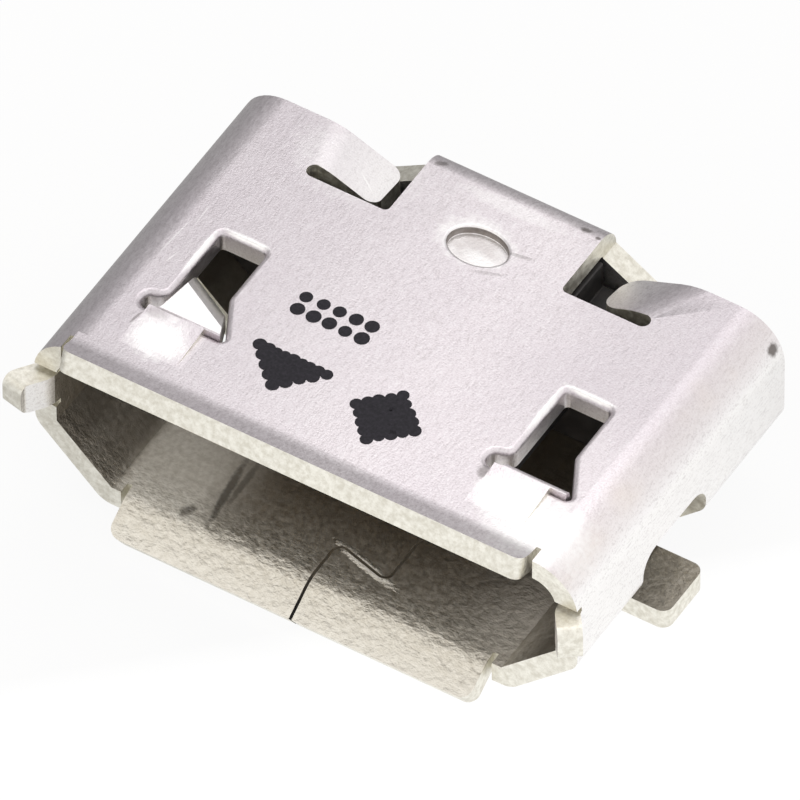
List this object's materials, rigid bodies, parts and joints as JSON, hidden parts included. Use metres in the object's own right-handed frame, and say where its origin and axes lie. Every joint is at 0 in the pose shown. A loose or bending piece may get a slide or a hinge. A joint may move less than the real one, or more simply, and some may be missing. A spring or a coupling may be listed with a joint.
{
  "type": "micro usb socket",
  "caption": "Surface-mount micro USB type B socket: folded metal shell with flared lips, latch windows and solder feet around a moulded tongue with flat contacts.",
  "frame": {"origin": "on the circuit board, half way across, under the rear edges of the two latch windows", "axes": "-Z is out of the board face, -Y is out of the mouth, +X is to the right seen from the mouth"},
  "size_m": [0.008, 0.0059, 0.0028],
  "materials": {
    "shell": "satin plated sheet steel",
    "housing": "matt black moulding",
    "contacts": "gold plated copper alloy"
  },
  "bodies": {
    "root": {"shell": "shell", "housing": "housing", "contact_1": "contacts", "contact_2": "contacts", "contact_3": "contacts", "contact_4": "contacts", "contact_5": "contacts"}
  },
  "joints": []
}
